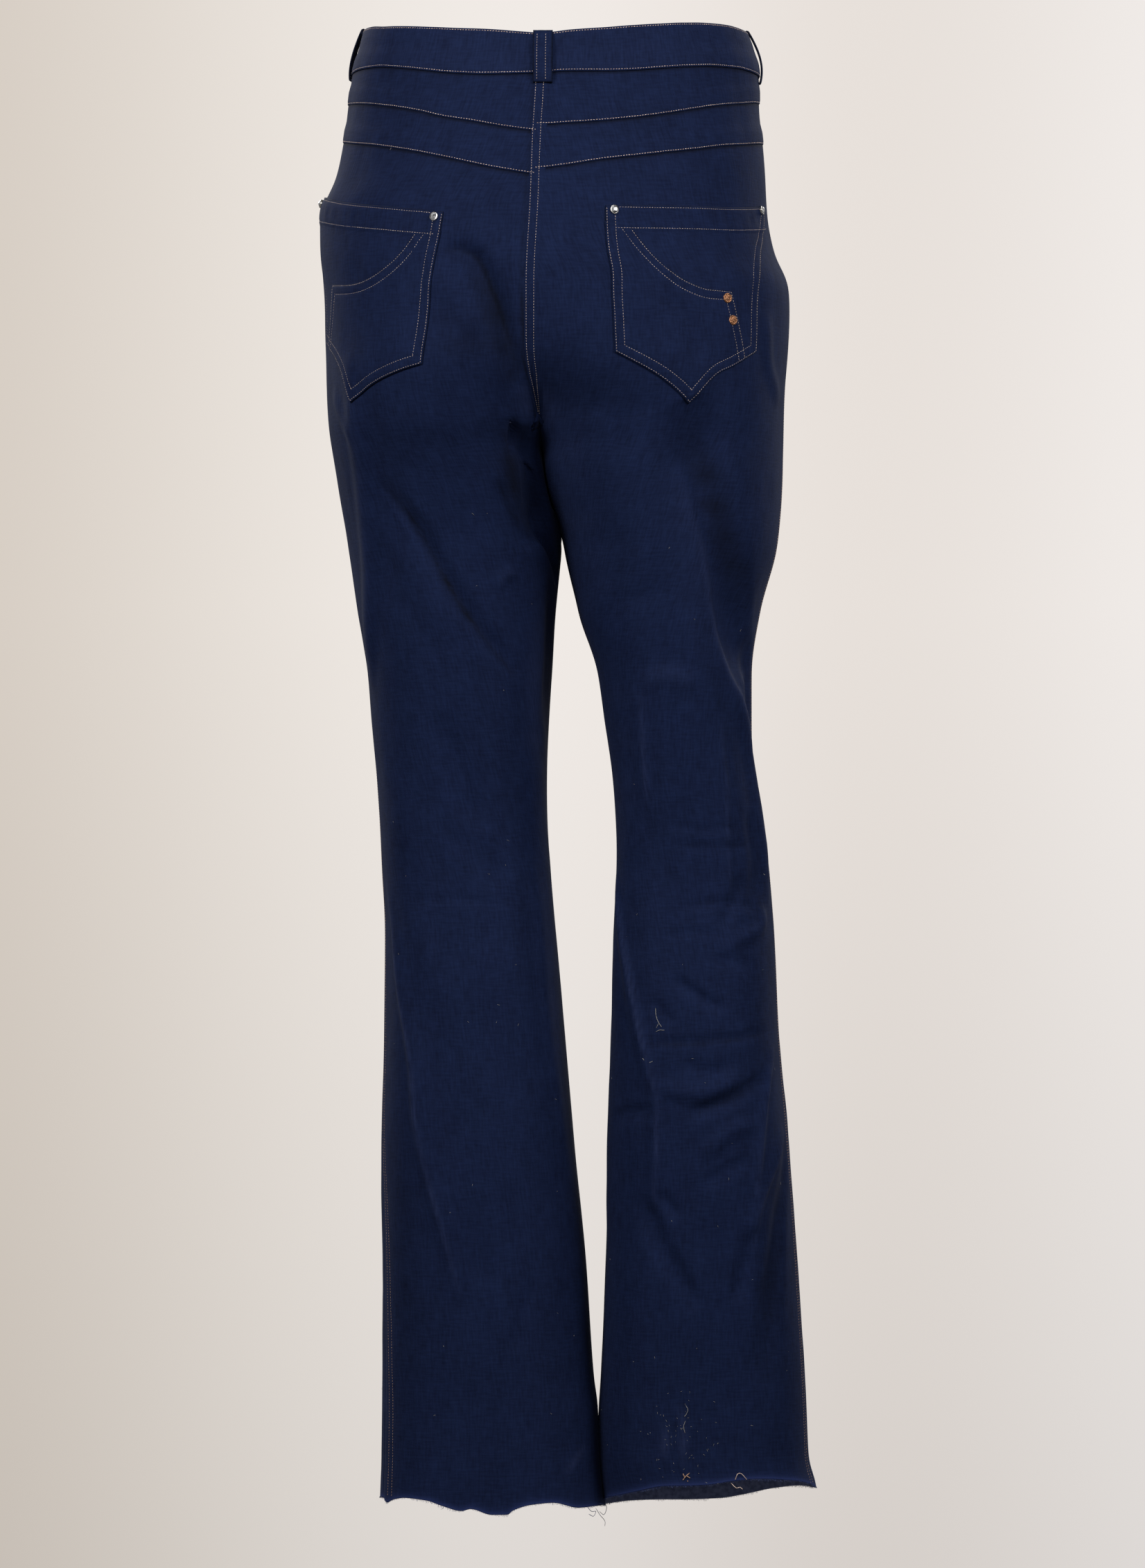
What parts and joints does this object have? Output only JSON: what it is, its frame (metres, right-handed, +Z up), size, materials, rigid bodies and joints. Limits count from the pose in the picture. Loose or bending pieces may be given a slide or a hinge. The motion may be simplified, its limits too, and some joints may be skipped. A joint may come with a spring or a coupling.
{
  "type": "straight-leg jeans",
  "caption": "Hollow straight-leg jeans in dark stretch twill, in a walking pose, with back yokes, layered back pockets, belt loops and raw hems.",
  "frame": {"origin": "middle of the waist opening, level with the waistband's top edge at the sides", "axes": "+X towards the wearer's right, +Y towards the front, +Z up along the legs"},
  "size_m": [0.3823, 0.2537, 1.1472],
  "materials": {
    "twill": "dark navy stretch twill with a faint sheen",
    "clear_stone": "clear faceted stone in a bright metal cup",
    "copper": "bare copper, satin",
    "dark_copper": "bare darkened copper, satin",
    "thread": "pale beige-pink topstitching thread",
    "bright_metal": "polished cup of a stone stud"
  },
  "bodies": {
    "root": {"back_left_hip": "twill", "back_left_thigh": "twill", "back_left_knee": "twill", "back_left_calf": "twill", "back_left_ankle": "twill", "back_right_hip": "twill", "back_right_thigh": "twill", "back_right_knee": "twill", "back_right_calf": "twill", "back_right_ankle": "twill", "front_left_hip": "twill", "front_left_thigh": "twill", "front_left_knee": "twill", "front_left_calf": "twill", "front_left_ankle": "twill", "front_right_hip": "twill", "front_right_thigh": "twill", "front_right_knee": "twill", "front_right_calf": "twill", "front_right_ankle": "twill", "yoke_upper_left": "twill", "yoke_upper_right": "twill", "yoke_lower_left": "twill", "yoke_lower_right": "twill", "waistband": "twill", "pocket_left": "twill", "pocket_right": "twill", "pocket_overlay_left": "twill", "pocket_overlay_right": "twill", "fly_shield": "twill", "belt_loop_centre_back": "twill", "belt_loop_left_side": "twill", "belt_loop_right_side": "twill", "belt_loop_left_front": "twill", "belt_loop_right_front": "twill", "stone_stud_left_in": "clear_stone", "stone_stud_left_out": "clear_stone", "stone_stud_right_in": "clear_stone", "stone_stud_right_out": "clear_stone", "copper_rivet_upper": "copper", "copper_rivet_lower": "copper", "waist_button": "dark_copper"}
  },
  "joints": []
}
